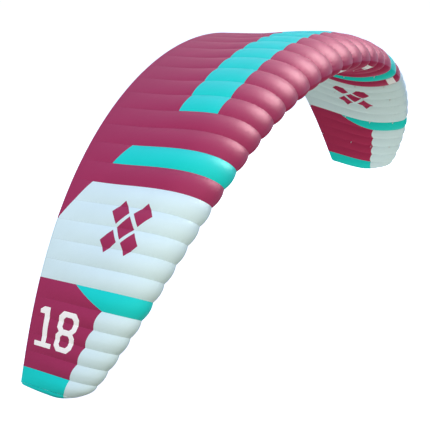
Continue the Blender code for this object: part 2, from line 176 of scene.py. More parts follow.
def profile_slope(rib, share, side, step=0.0005):
    """Outward direction of the profile, as its rearward and upward parts."""
    if share == 0:
        return Vector((-1, 0))
    before, after = max(share - step, 0), min(share + step, 1)
    rise = profile_height(rib, after, side) - profile_height(rib, before, side)
    return Vector((-rise * side, (after - before) * rib.chord * side)).normalized()


def on_cloth(station, share, side, outward=0.0):
    """Point of the blown-up cloth, side 1 above and -1 below, moved outward from its face."""
    rib = rib_at(station)
    part = station - math.floor(station)
    billow = 4 * part * (1 - part) * BILLOW_SHARE * cell_width(station) * (1 - share ** 2)
    flat = Vector((share * rib.chord, profile_height(rib, share, side)))
    place = flat + profile_slope(rib, share, side) * (billow + outward)
    return rib.nose + rib.back * place.x + rib.up * place.y - ORIGIN_FROM_NOSE


PALE, TURQUOISE, MAGENTA = range(3)
TIP_BORDER_SHARE = 0.165
TIP_PANEL_SHARE = 0.295
TIP_PANEL_BOW = 0.015


def panels(cell, side):
    """A cell's colours from the nose back, and their borders: shares on its two seams, and a bow."""
    number = min(cell, CELLS + 1 - cell)
    if number == 1:
        layout = [PALE, TURQUOISE], [(TIP_BORDER_SHARE, TIP_PANEL_SHARE, 0.033)]
    elif number <= 5:
        layout = [PALE, MAGENTA], [(TIP_PANEL_SHARE, TIP_PANEL_SHARE, TIP_PANEL_BOW)]
    elif number == 6:
        layout = [TURQUOISE, MAGENTA], [(0.293, 0.638, TIP_PANEL_BOW)]
    elif number <= 9:
        layout = [PALE], []
    elif number == 10:
        layout = [PALE, MAGENTA], [(0.999, 0.92, 0)]
    elif number == 11:
        layout = [PALE, MAGENTA], [(0.92, 0.838, 0)]
    elif number == 13 and side > 0:
        layout = [TURQUOISE, MAGENTA], [(0.76, 0.685, 0)]
    elif number == 13:
        layout = [TURQUOISE], []
    elif number >= 16 and side > 0:
        layout = [MAGENTA, TURQUOISE, MAGENTA], [(0.25, 0.245, 0), (0.518, 0.51, 0)]
    else:
        layout = [MAGENTA], []
    colours, borders = layout
    if cell > number:
        borders = [(second, first, bow) for first, second, bow in borders]
    return colours, borders


def border_share(border, part):
    """Share of a colour border across a cell, bowed rearward in the middle of the cell."""
    first, second, bow = border
    return first + (second - first) * part + 4 * bow * part * (1 - part)


def flat_cells(first, last):
    """Flat cloth of some cells, with stations along X and shares along Y."""
    cloth = bmesh.new()
    columns = (last - first) * COLUMNS_PER_CELL
    grid = []
    for column in range(columns + 1):
        station = first + column / COLUMNS_PER_CELL
        grid.append([cloth.verts.new((station, share, 0)) for share in ROW_SHARES])
    for left, right in zip(grid, grid[1:]):
        for row in range(ROWS):
            cloth.faces.new((left[row], right[row], right[row + 1], left[row + 1]))
    return cloth


def faces_between(cloth, first, last):
    return [face for face in cloth.faces if first < face.calc_center_median().x < last]


def cut_along(cloth, faces, start, end):
    """Cuts flat faces along the line through two points."""
    edges = {edge for face in faces for edge in face.edges}
    corners = {corner for face in faces for corner in face.verts}
    across = Vector((end[1] - start[1], start[0] - end[0], 0)).normalized()
    bmesh.ops.bisect_plane(cloth, geom=[*faces, *edges, *corners], dist=CUT_SNAP,
                           plane_co=(*start, 0), plane_no=across)


def inlet_limits(cell):
    """Stations and shares that an air inlet spans."""
    middle = cell - 0.5
    reach = 0.5 - INLET_SIDE_MARGIN / cell_width(middle)
    back = INLET_FRONT_SHARE + INLET_LENGTH / rib_at(middle).chord
    return middle - reach, middle + reach, INLET_FRONT_SHARE, back


def lower_inlets(first, last):
    both = [cell for number in INLET_CELLS for cell in (number, CELLS + 1 - number)]
    return [cell for cell in sorted(both) if first < cell <= last]


@lru_cache(maxsize=None)
def length_along(share, side, steps=200):
    """Length of the profile from the nose to a share, for a chord of one."""
    rib = rib_at(CELLS / 2)
    total, before = 0.0, Vector((0, 0))
    for step in range(1, steps + 1):
        place = share * (step / steps) ** 2
        here = Vector((place, profile_height(rib, place, side) / rib.chord))
        total += (here - before).length
        before = here
    return total


@lru_cache(maxsize=None)
def panel_widths(cell):
    """Cut width of a cell's cloth at the nose and at the trailing edge, square to its ribs."""
    near, far = rib_at(cell - 1), rib_at(cell)
    rearward = (near.back + far.back).normalized()
    gaps = [far.nose - near.nose, far.nose + far.back * far.chord - near.nose - near.back * near.chord]
    return [(gap - rearward * gap.dot(rearward)).length * BILLOW_LENGTH_GAIN for gap in gaps]


@lru_cache(maxsize=None)
def widths_before(cell):
    return sum(max(panel_widths(before)) for before in range(1, cell))


def add_piece(made, name, materials):
    """Puts a finished mesh in the scene as a piece."""
    mesh = bpy.data.meshes.new(name)
    made.to_mesh(mesh)
    made.free()
    for material in materials:
        mesh.materials.append(material)
    piece = bpy.data.objects.new(name, mesh)
    bpy.context.scene.collection.objects.link(piece)
    return piece


def blow_up(cloth, name, side, outward, materials):
    """Turns flat cloth into a piece of the inflated canopy, with its UVs in metres."""
    bmesh.ops.triangulate(cloth, faces=[face for face in cloth.faces if len(face.verts) > 4])
    weave = cloth.loops.layers.uv.new("cloth")
    seams = cloth.loops.layers.uv.new("seams")
    cloth.faces.index_update()
    cells = []
    for face in cloth.faces:
        face.smooth = True
        cell = math.floor(face.calc_center_median().x) + 1
        cells.append(cell)
        nose_width, rear_width = panel_widths(cell)
        for loop in face.loops:
            station, share = loop.vert.co.x, loop.vert.co.y
            part, width = station - cell + 1, nose_width + (rear_width - nose_width) * share
            run = length_along(round(share, 4), side) * rib_at(round(station, 4)).chord
            loop[weave].uv = (widths_before(cell) + part * width, run)
            loop[seams].uv = (min(part, 1 - part) * width, share)
    for edge in cloth.edges:
        first, second = edge.verts
        lengthwise = abs(first.co.x - second.co.x) < TINY
        edge.smooth = not (lengthwise and abs(first.co.x - round(first.co.x)) < SEAM_SNAP)
    noses = nose_normals(cloth, cells, side)
    for corner in cloth.verts:
        station = corner.co.x
        if abs(station - round(station)) < SEAM_SNAP:
            station = float(round(station))
        corner.co = on_cloth(round(station, 5), min(max(corner.co.y, 0), 1), side, outward)
    if side < 0:
        for face in cloth.faces:
            face.normal_flip()
    piece = add_piece(cloth, name, materials)
    if noses:
        mesh = piece.data
        normals = [(0, 0, 0)] * len(mesh.loops)
        for polygon in mesh.polygons:
            for index in polygon.loop_indices:
                key = (polygon.index, mesh.loops[index].vertex_index)
                normals[index] = noses.get(key, (0, 0, 0))
        mesh.normals_split_custom_set(normals)
    return piece


def nose_normals(cloth, cells, side, step=0.001):
    """Normals along the nose, where the upper and the lower cloth run into each other without a crease."""
    cloth.verts.index_update()
    found = {}
    for face, cell in zip(cloth.faces, cells):
        for corner in face.verts:
            if corner.co.y < TINY:
                low = max(corner.co.x - step, cell - 1 + TINY)
                high = min(corner.co.x + step, cell - TINY)
                across = on_cloth(high, 0, side) - on_cloth(low, 0, side)
                rib = rib_at(round(corner.co.x, 4))
                normal = across.cross(rib.back).cross(across).normalized()
                found[face.index, corner.index] = -normal
    return found


def node(tree, kind, inputs, **settings):
    made = tree.nodes.new("ShaderNode" + kind)
    for setting, value in settings.items():
        setattr(made, setting, value)
    for socket, value in inputs.items():
        if isinstance(value, bpy.types.NodeSocket):
            tree.links.new(value, made.inputs[socket])
        else:
            made.inputs[socket].default_value = value
    return made


def maths(tree, operation, *values):
    return node(tree, "Math", dict(enumerate(values)), operation=operation).outputs[0]


def fade(tree, value, start, end):
    """1 at start falling to 0 at end."""
    return node(tree, "MapRange", {0: value, 1: start, 2: end, 3: 1.0, 4: 0.0}).outputs[0]


def mix(tree, share, first, second):
    """A colour between two, each an output or its red, green and blue."""
    inputs = {0: share}
    for socket, colour in ((6, first), (7, second)):
        inputs[socket] = (*colour, 1) if isinstance(colour, tuple) else colour
    return node(tree, "Mix", inputs, data_type="RGBA").outputs[2]


def noise(tree, place, scale, detail, roughness=0.5):
    inputs = {"Vector": place, "Scale": scale, "Detail": detail, "Roughness": roughness}
    return node(tree, "TexNoise", inputs).outputs[0]


def uv_place(tree, layer):
    """Place in a UV layer, whole and as its two parts."""
    place = node(tree, "UVMap", {}, uv_map=layer).outputs[0]
    parts = node(tree, "SeparateXYZ", {0: place}).outputs
    return place, parts[0], parts[1]


def thread_grid(tree, lines, spacing, width):
    """1 on the threads of a square grid, 0 between them."""
    threads = [fade(tree, maths(tree, "PINGPONG", line, spacing / 2), 0.0, width) for line in lines]
    return maths(tree, "MAXIMUM", *threads)


def emboss(tree, shader, height, distance, strength):
    bump = node(tree, "Bump", {"Strength": strength, "Distance": distance, "Height": height})
    tree.links.new(bump.outputs[0], shader.inputs["Normal"])


def new_finish(name, roughness):
    material = bpy.data.materials.new(name)
    material.use_nodes = True
    shader = material.node_tree.nodes["Principled BSDF"]
    shader.inputs["Roughness"].default_value = roughness
    return material, material.node_tree, shader


RIPSTOP_GRID, RIPSTOP_YARN = 0.005, 0.0009
YARN_HEIGHT, YARN_TINT = 0.00005, 0.25
FULL_CELL, EXTRA_BILLOW = 0.24, 0.01
WRINKLE_SCALE, WRINKLE_HEIGHT = 5.0, 0.004
PUCKER_LENGTH, PUCKER_REACH, PUCKER_HEIGHT = 0.055, 0.07, 0.0011
PUCKER_WANDER, PUCKER_WANDER_SCALE = 14.0, 9.0
TAUT_SHARE, SLACK_SHARE = 0.08, 0.3
TAUT_ROUGHNESS, SLACK_ROUGHNESS = 0.5, 0.85
BLOTCH_SCALE, BLOTCH_SHADES = 1.7, (0.93, 1.06)
PAINTED_SEAM_SHADE_WIDTH, PAINTED_SEAM_SHADE_STRENGTH, PAINTED_SEAM_SHADE_DARKNESS = 0.0028, 0.3, 0.35
STITCH_FROM_SEAM, STITCH_HALF_WIDTH = 0.006, 0.0005
STITCH_PITCH, STITCH_SHARE = 0.0045, 0.68


def ripstop(name, colour, thread, gloss):
    """Coated nylon: a grid of thicker yarns, soft wrinkles, puckers, a stitch line beside each seam, and
    painted shade along each seam.

    The coating shines where the cloth is taut over the nose, and fine creases dull it behind.
    """
    material, tree, shader = new_finish(name, TAUT_ROUGHNESS)
    weave, across, along = uv_place(tree, "cloth")
    seam, share = uv_place(tree, "seams")[1:]

    grid = thread_grid(tree, (across, along), RIPSTOP_GRID, RIPSTOP_YARN)
    wrinkles = noise(tree, weave, WRINKLE_SCALE, 3.0)
    wander = maths(tree, "MULTIPLY", noise(tree, weave, PUCKER_WANDER_SCALE, 1.0), PUCKER_WANDER)
    turns = maths(tree, "MULTIPLY_ADD", along, 2 * math.pi / PUCKER_LENGTH, wander)
    near_seam = maths(tree, "POWER", fade(tree, seam, 0.0, PUCKER_REACH), 2.0)
    pucker = maths(tree, "MULTIPLY", maths(tree, "SINE", turns), near_seam)

    half = maths(tree, "MINIMUM", maths(tree, "DIVIDE", seam, FULL_CELL / 2), 1.0)
    rounding = maths(tree, "SUBTRACT", 1.0, maths(tree, "POWER", maths(tree, "SUBTRACT", 1.0, half), 2.0))
    fullness = maths(tree, "MULTIPLY", rounding, fade(tree, maths(tree, "POWER", share, 2.0), 0.0, 1.0))

    height = maths(tree, "MULTIPLY", grid, YARN_HEIGHT)
    for relief, rise in ((fullness, EXTRA_BILLOW), (pucker, PUCKER_HEIGHT), (wrinkles, WRINKLE_HEIGHT)):
        height = maths(tree, "MULTIPLY_ADD", relief, rise, height)
    emboss(tree, shader, height, 1.0, 1.0)

    darker, lighter = (tuple(part * shade for part in colour) for shade in BLOTCH_SHADES)
    tint = mix(tree, noise(tree, weave, BLOTCH_SCALE, 4.0, 0.6), darker, lighter)
    tint = mix(tree, maths(tree, "MULTIPLY", grid, YARN_TINT), tint, thread)
    # Painted shade: the colour darkens towards each seam, standing in for the shadow in the crease there.
    fold = maths(tree, "MULTIPLY", fade(tree, seam, 0.0, PAINTED_SEAM_SHADE_WIDTH), PAINTED_SEAM_SHADE_STRENGTH)
    tint = mix(tree, fold, tint, tuple(part * PAINTED_SEAM_SHADE_DARKNESS for part in colour))
    dash = maths(tree, "FRACT", maths(tree, "DIVIDE", along, STITCH_PITCH))
    on_line = maths(tree, "COMPARE", seam, STITCH_FROM_SEAM, STITCH_HALF_WIDTH)
    stitch = maths(tree, "MULTIPLY", maths(tree, "LESS_THAN", dash, STITCH_SHARE), on_line)
    tree.links.new(mix(tree, stitch, tint, thread), shader.inputs["Base Color"])

    taut = fade(tree, share, TAUT_SHARE, SLACK_SHARE)
    roughness = maths(tree, "MULTIPLY_ADD", taut, TAUT_ROUGHNESS - SLACK_ROUGHNESS, SLACK_ROUGHNESS)
    tree.links.new(roughness, shader.inputs["Roughness"])
    shader.inputs["Specular IOR Level"].default_value = gloss
    return material


GLAZED, MATT = 0.36, 0.03
PALE_DYE = (0.66, 0.85, 0.88), (0.75, 0.88, 0.9)
UPPER_CLOTHS = (ripstop("pale ripstop", *PALE_DYE, GLAZED),
                ripstop("turquoise ripstop", (0.002, 0.65, 0.6), (0.02, 0.7, 0.7), GLAZED),
                ripstop("magenta ripstop", (0.34, 0.023, 0.095), (0.4, 0.04, 0.13), GLAZED))
# The lower cloth's turquoise and magenta are warmer and lighter than the upper cloth's: painted light,
# standing in for the warm light from below. Its matt finish is its own.
LOWER_CLOTHS = (ripstop("matt pale ripstop", *PALE_DYE, MATT),
                ripstop("matt turquoise ripstop with painted warm light", (0.016, 0.68, 0.6), (0.02, 0.7, 0.7), MATT),
                ripstop("matt magenta ripstop with painted warm light", (0.4, 0.03, 0.09), (0.42, 0.05, 0.14), MATT))


def sew_section(label, first, last, side):
    """One section of the upper or lower cloth, pieced from its panels, with any air inlets cut out."""
    cloth = flat_cells(first, last)
    for cell in range(first + 1, last + 1):
        for border in panels(cell, side)[1]:
            for column in range(COLUMNS_PER_CELL):
                parts = (column / COLUMNS_PER_CELL, (column + 1) / COLUMNS_PER_CELL)
                start, end = ((cell - 1 + part, border_share(border, part)) for part in parts)
                cut_along(cloth, faces_between(cloth, start[0], end[0]), start, end)
    for cell in lower_inlets(first, last) if side < 0 else ():
        left, right, front, back = inlet_limits(cell)
        for start, end in (((left, 0), (left, 1)), ((right, 0), (right, 1)),
                           ((left, front), (right, front)), ((left, back), (right, back))):
            cut_along(cloth, faces_between(cloth, cell - 1, cell), start, end)
        hole = [face for face in faces_between(cloth, left, right)
                if front < face.calc_center_median().y < back]
        bmesh.ops.delete(cloth, geom=hole, context="FACES")
    for face in cloth.faces:
        middle = face.calc_center_median()
        cell = math.floor(middle.x) + 1
        colours, borders = panels(cell, side)
        passed = sum(middle.y > border_share(border, middle.x - cell + 1) for border in borders)
        face.material_index = colours[passed]
    where = "upper" if side > 0 else "lower"
    piece = blow_up(cloth, f"{where}_cloth_{label}", side, CLOTH_LIFT,
                    UPPER_CLOTHS if side > 0 else LOWER_CLOTHS)
    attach(piece, "canopy")
    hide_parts(f"{where}_skin_{label}")
    declare_cloth(piece)


def declare_cloth(piece):
    """Adds up the area of each of a piece's colours; nothing is done with the sums."""
    mesh, weave = piece.data, piece.data.uv_layers["cloth"].data
    areas = [0.0] * len(mesh.materials)
    for polygon in mesh.polygons:
        areas[polygon.material_index] += polygon.area


sections = [("mid", MAIN_RIBS[-1], CELLS - MAIN_RIBS[-1])]
for number, (first, last) in enumerate(zip((0, *MAIN_RIBS), MAIN_RIBS), start=1):
    sections += [(f"r{number}", first, last), (f"l{number}", CELLS - last, CELLS - first)]
for label, first, last in sections:
    for side in (1, -1):
        sew_section(label, first, last, side)


# Tip cloth
# A narrow panel closes each end of the wing over its last rib, and swells out round under the air inside.
# It is cut from the same pale and turquoise ripstop as the edge cell beside it.

TIP_SWELL = 0.066
TIP_SWELL_REAR = 0.02
FULL_SWELL_SHARE = 0.4
TIP_CLOSING_SHARE = 0.02
TIP_COLUMNS = 16
TIP_MERGE = 0.0002


def gaps_between(places):
    return [(after - before).length for before, after in zip(places, places[1:])]


for label, station, outward in (("r", 0.0, -1), ("l", float(CELLS), 1)):
    cloth = bmesh.new()
    weave, seams = (cloth.loops.layers.uv.new(name) for name in ("cloth", "seams"))
    rib = rib_at(station)
    rows = []
    for share in sorted([*ROW_SHARES, TIP_BORDER_SHARE]):
        top, bottom = (on_cloth(station, share, side, CLOTH_LIFT) for side in (1, -1))
        growth = math.sin(math.pi / 2 * min(1.0, share / FULL_SWELL_SHARE))
        depth = TIP_SWELL * growth * (1 - share ** 3) + TIP_SWELL_REAR * share ** 3
        places, row = [], []
        for column in range(TIP_COLUMNS + 1):
            turn = math.pi * column / TIP_COLUMNS
            out = CLOTH_LIFT * 2 + depth * math.sin(turn) * min(1, (1 - share) / TIP_CLOSING_SHARE)
            places.append(top.lerp(bottom, (1 - math.cos(turn)) / 2) + rib.along * outward * out)
        steps = gaps_between(places)
        gap = sum(steps)
        for column, place in enumerate(places):
            row.append((cloth.verts.new(place), sum(steps[:column]), gap, share))
        rows.append(row)
    for row, behind in zip(rows, rows[1:]):
        for column in range(TIP_COLUMNS):
            ring = (row[column], row[column + 1], behind[column + 1], behind[column])
            face = cloth.faces.new([corner for corner, place, gap, share in ring])
            face.smooth = True
            face.material_index = PALE if (ring[0][3] + ring[2][3]) / 2 < TIP_BORDER_SHARE else TURQUOISE
            for loop, (corner, place, gap, share) in zip(face.loops, ring):
                run = length_along(round(share, 4), 1) * rib.chord
                loop[weave].uv = (place, run)
                loop[seams].uv = (min(place, gap - place), 1)
    bmesh.ops.remove_doubles(cloth, verts=cloth.verts, dist=TIP_MERGE)
    if outward < 0:
        bmesh.ops.reverse_faces(cloth, faces=cloth.faces)
    piece = add_piece(cloth, f"tip_cloth_{label}", UPPER_CLOTHS)
    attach(piece, "canopy")
    declare_cloth(piece)


# Trailing edge hem
# The upper and lower cloth end together, and a strip of the same cloth is folded round both and sewn down.
# Its colours follow the panels that it closes.

HEM_DEPTH = 0.014
HEM_LIFT = 0.0016
HEM_FOLD_STEPS = 4

for label, first, last in sections:
    cloth = bmesh.new()
    weave, seams = (cloth.loops.layers.uv.new(name) for name in ("cloth", "seams"))
    columns = (last - first) * COLUMNS_PER_CELL
    rows, edge_points = [], []
    for column in range(columns + 1):
        station = first + column / COLUMNS_PER_CELL
        rib = rib_at(station)
        start = 1 - HEM_DEPTH / rib.chord
        flaps = [[on_cloth(station, share, side, HEM_LIFT) for share in (start, (start + 1) / 2, 1)]
                 for side in (1, -1)]
        middle = (flaps[0][2] + flaps[1][2]) / 2
        radius = (flaps[0][2] - flaps[1][2]).length / 2
        fold = []
        for step in range(1, HEM_FOLD_STEPS):
            turn = math.pi * step / HEM_FOLD_STEPS
            fold.append(middle + rib.back * radius * math.sin(turn) + rib.up * radius * math.cos(turn))
        ring = [*flaps[0], *fold, *reversed(flaps[1])]
        rows.append([cloth.verts.new(place) for place in ring])
        edge_points.append(middle)
    steps, folds = gaps_between(edge_points), gaps_between(ring)
    depths = [sum(folds[:count]) for count in range(len(ring))]
    for column in range(columns):
        cell = first + column // COLUMNS_PER_CELL + 1
        near, far = rows[column], rows[column + 1]
        for step in range(len(near) - 1):
            face = cloth.faces.new((near[step], far[step], far[step + 1], near[step + 1]))
            face.smooth = True
            face.material_index = panels(cell, 1 if step < len(near) // 2 else -1)[0][-1]
            for loop in face.loops:
                ahead = loop.vert in far
                index = (far if ahead else near).index(loop.vert)
                down = index / (len(near) - 1)
                loop[weave].uv = (sum(steps[:column + ahead]), depths[index])
                loop[seams].uv = (STITCH_FROM_SEAM * 3 * min(down, 1 - down), 1)
    piece = add_piece(cloth, f"trailing_hem_{label}", UPPER_CLOTHS)
    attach(piece, "canopy")
    declare_cloth(piece)


# Size numerals
# The kite's size in square metres, cut from white adhesive cloth and sewn on the upper side of both tips.
# Plain block numerals, upright when the nearest tip points down.

NUMERAL_LIFT = 0.0016
NUMERAL_FOOT, NUMERAL_TOP = 2.39, 4.57
NUMERAL_UNITS_HIGH = 5.0
NUMERAL_LEAN = 0.0225
ONE_LEFT_SHARE, ONE_UNIT = 0.905, 0.0717
EIGHT_LEFT_SHARE, EIGHT_UNIT = 0.654, 0.0767

ONE = [[(0, 0), (3, 0), (3, 0.62), (2.0, 0.62), (2.0, 5), (1.1, 5), (0.5, 4.6), (0.5, 4.15), (1.2, 4.15),
        (1.2, 0.62), (0, 0.62)]]
EIGHT = [[(0.6, 0), (2.4, 0), (3, 0.65), (3, 2.05), (2.6, 2.5), (3, 2.95), (3, 4.35), (2.4, 5), (0.6, 5),
          (0, 4.35), (0, 2.95), (0.4, 2.5), (0, 2.05), (0, 0.65)],
         [(1.05, 0.65), (1.95, 0.65), (2.25, 0.95), (2.25, 1.85), (1.95, 2.15), (1.05, 2.15), (0.75, 1.85),
          (0.75, 0.95)],
         [(1.05, 2.85), (1.95, 2.85), (2.25, 3.15), (2.25, 4.05), (1.95, 4.35), (1.05, 4.35), (0.75, 4.05),
          (0.75, 3.15)]]


def filled(outlines):
    """Flat mesh inside closed outlines, holes among them."""
    flat = bmesh.new()
    for outline in outlines:
        corners = [flat.verts.new((*corner, 0)) for corner in outline]
        for corner, following in zip(corners, corners[1:] + corners[:1]):
            flat.edges.new((corner, following))
    bmesh.ops.triangle_fill(flat, use_beauty=True, use_dissolve=False, edges=flat.edges, normal=(0, 0, 1))
    return flat


def flat_patch(outlines):
    """Flat cloth inside outlines of stations and shares, cut where the canopy bends."""
    cloth = filled(outlines)
    stations, shares = [[corner[axis] for outline in outlines for corner in outline] for axis in range(2)]
    for column in range(math.floor(min(stations) * COLUMNS_PER_CELL) + 1,
                        math.ceil(max(stations) * COLUMNS_PER_CELL)):
        station = column / COLUMNS_PER_CELL
        cut_along(cloth, list(cloth.faces), (station, 0), (station, 1))
    for share in ROW_SHARES:
        if min(shares) < share < max(shares):
            cut_along(cloth, list(cloth.faces), (0, share), (1, share))
    for face in cloth.faces:
        if face.normal.z < 0:
            face.normal_flip()
    return cloth


def numeral_outlines(shape, left, unit):
    high = (NUMERAL_TOP - NUMERAL_FOOT) / NUMERAL_UNITS_HIGH
    return [[(NUMERAL_FOOT + y * high, left - x * unit + y * high * NUMERAL_LEAN) for x, y in loop]
            for loop in shape]


def far_outlines(outlines):
    """The same on the far tip, turned half round so that it isn't mirrored."""
    shares = [share for outline in outlines for station, share in outline]
    middle = max(shares) + min(shares)
    return [[(CELLS - station, middle - share) for station, share in outline] for outline in outlines]


numeral_cloth, tree, shader = new_finish("white numeral cloth", 0.55)
weave = node(tree, "UVMap", {}, uv_map="cloth").outputs[0]
tint = mix(tree, noise(tree, weave, 6.0, 4.0), (0.96, 0.95, 0.9), (1.0, 1.0, 0.98))
tree.links.new(tint, shader.inputs["Base Color"])
emboss(tree, shader, noise(tree, weave, 900.0, 1.0), 0.0002, 0.5)
shader.inputs["Specular IOR Level"].default_value = 0.3

numerals = (numeral_outlines(ONE, ONE_LEFT_SHARE, ONE_UNIT)
            + numeral_outlines(EIGHT, EIGHT_LEFT_SHARE, EIGHT_UNIT))
for label, outlines in (("r", numerals), ("l", far_outlines(numerals))):
    piece = blow_up(flat_patch(outlines), f"size_numerals_{label}", 1, NUMERAL_LIFT, [numeral_cloth])
    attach(piece, "canopy")
    declare_cloth(piece)


# Diamonds
# Five magenta diamonds, a plain pattern, are sewn on the pale panels above and below, near both tips.
# Each is a single layer of the canopy's own ripstop.

DIAMOND_LIFT = 0.0015
DIAMOND_CENTRE = (9.0, 0.41)
DIAMOND_HALF = (0.56, 0.072)
DIAMOND_SPACING = 1.25

for label in ("r", "l"):
    for side, where in ((1, "upper"), (-1, "lower")):
        outlines = []
        for sideways, rearward in ((0, 0), (1, 1), (1, -1), (-1, 1), (-1, -1)):
            station = DIAMOND_CENTRE[0] + sideways * DIAMOND_HALF[0] * DIAMOND_SPACING
            share = DIAMOND_CENTRE[1] + rearward * DIAMOND_HALF[1] * DIAMOND_SPACING
            outlines.append([(station - DIAMOND_HALF[0], share), (station, share - DIAMOND_HALF[1]),
                             (station + DIAMOND_HALF[0], share), (station, share + DIAMOND_HALF[1])])
        if label == "l":
            outlines = far_outlines(outlines)
        piece = blow_up(flat_patch(outlines), f"diamonds_{where}_{label}", side, DIAMOND_LIFT,
                        UPPER_CLOTHS if side > 0 else LOWER_CLOTHS)
        for polygon in piece.data.polygons:
            polygon.material_index = MAGENTA
        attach(piece, "canopy")
        declare_cloth(piece)


# Ribs and braces inside
# White uncoated profile cloth, laser cut with air ports. The frame's own pieces stay and get its finish.
# Through the open air inlets they show as plain white walls.

rib_cloth, tree, shader = new_finish("white rib cloth", 0.7)
place = node(tree, "TexCoord", {}).outputs["Object"]
tint = mix(tree, noise(tree, place, 7.0, 4.0), (0.68, 0.68, 0.66), (0.82, 0.82, 0.8))
tree.links.new(tint, shader.inputs["Base Color"])
along_chord, upward = node(tree, "SeparateXYZ", {0: place}).outputs[1:]
emboss(tree, shader, thread_grid(tree, (along_chord, upward), RIPSTOP_GRID, RIPSTOP_YARN), 0.0001, 0.6)


def give_finish(names, material):
    for name in names:
        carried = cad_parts[name]
        if not carried.material_slots:
            carried.data.materials.append(material)
        for slot in carried.material_slots:
            slot.material = material


give_finish([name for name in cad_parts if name.startswith(("main_rib", "tip_rib"))], rib_cloth)


# Line tabs
# Fifty-six tabs of pale grey polyester webbing, sewn into the seams at the load-carrying ribs in four rows:
# A, B, C and brake. Each has a slot for a line and is held by two bar tacks.

TAB_ROW_SHARES = (0.1, 0.32, 0.58, 0.98)
TAB_HALF_WIDTHS = (0.0084, 0.0065)
TAB_TOP, TAB_DROP = 0.001, 0.0287
TAB_CORNER = 0.003
TAB_HALF_THICKNESS = 0.0014
SLOT_HALF_WIDTH = 0.0013
SLOT_LOW, SLOT_HIGH = 0.0242, 0.0114
TAB_ROUND_STEPS = 4
BAR_TACKS, TACK_HALF_HEIGHT = (0.004, 0.0085), 0.0007
HERRINGBONE_WIDTH, TWILL_RIB = 0.004, 0.0006

webbing, tree, shader = new_finish("pale grey tab webbing", 0.75)
across, down = uv_place(tree, "cloth")[1:]
slant = maths(tree, "ADD", maths(tree, "PINGPONG", across, HERRINGBONE_WIDTH), down)
tacks = [maths(tree, "COMPARE", down, bar, TACK_HALF_HEIGHT) for bar in BAR_TACKS]
tint = mix(tree, maths(tree, "MAXIMUM", *tacks), (0.6, 0.64, 0.65), (0.8, 0.8, 0.78))
tree.links.new(tint, shader.inputs["Base Color"])
emboss(tree, shader, maths(tree, "PINGPONG", slant, TWILL_RIB), 0.5, 0.7)


def tab_outline():
    """Sideways and downward places round a tab, its lower corners rounded."""
    wide, narrow = TAB_HALF_WIDTHS
    right = [(wide, -TAB_TOP)]
    for step in range(TAB_ROUND_STEPS + 1):
        turn = math.pi / 2 * step / TAB_ROUND_STEPS
        right.append((narrow - TAB_CORNER + TAB_CORNER * math.cos(turn),
                      TAB_DROP - TAB_CORNER + TAB_CORNER * math.sin(turn)))
    return right + [(-across, down) for across, down in reversed(right)]


def slot_outline():
    ends = []
    for middle, start in ((SLOT_LOW - SLOT_HALF_WIDTH, 0), (SLOT_HIGH + SLOT_HALF_WIDTH, math.pi)):
        for step in range(TAB_ROUND_STEPS + 1):
            turn = start + math.pi * step / TAB_ROUND_STEPS
            ends.append((SLOT_HALF_WIDTH * math.cos(turn), middle + SLOT_HALF_WIDTH * math.sin(turn)))
    return ends


def add_tab(tabs, weave, station, share):
    rib = rib_at(float(station))
    foot = on_cloth(float(station), share, -1)
    flat = filled((tab_outline(), slot_outline()))
    faces = [[corner.co.copy() for corner in face.verts] for face in flat.faces]
    rims = [[corner.co.copy() for corner in edge.verts] for edge in flat.edges if len(edge.link_faces) == 1]
    flat.free()
    known = {}

    def corner_at(place, height):
        key = (round(place.x, 6), round(place.y, 6), height)
        if key not in known:
            known[key] = tabs.verts.new(foot + rib.back * place.x - rib.up * place.y + rib.along * height)
        return known[key]

    for height in (TAB_HALF_THICKNESS, -TAB_HALF_THICKNESS):
        for face in faces:
            side = tabs.faces.new([corner_at(place, height) for place in face])
            for loop, place in zip(side.loops, face):
                loop[weave].uv = (place.x, place.y)
    for start, end in rims:
        places = ((start, TAB_HALF_THICKNESS), (end, TAB_HALF_THICKNESS),
                  (end, -TAB_HALF_THICKNESS), (start, -TAB_HALF_THICKNESS))
        edge = tabs.faces.new([corner_at(place, height) for place, height in places])
        for loop, (place, height) in zip(edge.loops, places):
            loop[weave].uv = (place.x + height, place.y)


for number, first in enumerate(MAIN_RIBS, start=1):
    for label, station in (("r", first), ("l", CELLS - first)):
        tabs = bmesh.new()
        weave_layer = tabs.loops.layers.uv.new("cloth")
        for share in TAB_ROW_SHARES:
            add_tab(tabs, weave_layer, station, share)
        bmesh.ops.recalc_face_normals(tabs, faces=tabs.faces)
        piece = add_piece(tabs, f"line_tabs_{label}{number}", [webbing])
        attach(piece, "canopy")


# Air inlets and their valves
# Six slots behind the nose let air in. White laminate binds each, and a white flap lies on it from inside.
# The flap is sewn along its front edge only, so that it falls shut when the pressure inside pushes back.

RIM_WIDTH = 0.011
RIM_LIFT = 0.0016
FLAP_LAP = 0.01
FLAP_DEPTH = 0.004
SCRIM_GRID, SCRIM_THREAD = 0.003, 0.0004

laminate, tree, shader = new_finish("white laminate", 0.5)
weave, across, along = uv_place(tree, "cloth")
tint = mix(tree, noise(tree, weave, 14.0, 4.0), (0.78, 0.78, 0.76), (0.9, 0.9, 0.88))
tree.links.new(tint, shader.inputs["Base Color"])
emboss(tree, shader, thread_grid(tree, (across, along), SCRIM_GRID, SCRIM_THREAD), 0.00008, 0.6)
shader.inputs["Specular IOR Level"].default_value = 0.35


def grown(limits, cell, growth):
    """An inlet's corners, moved outward by a margin in metres."""
    left, right, front, back = limits
    aside, along = growth / cell_width(cell - 0.5), growth / rib_at(cell - 0.5).chord
    return [(left - aside, front - along), (right + aside, front - along),
            (right + aside, back + along), (left - aside, back + along)]


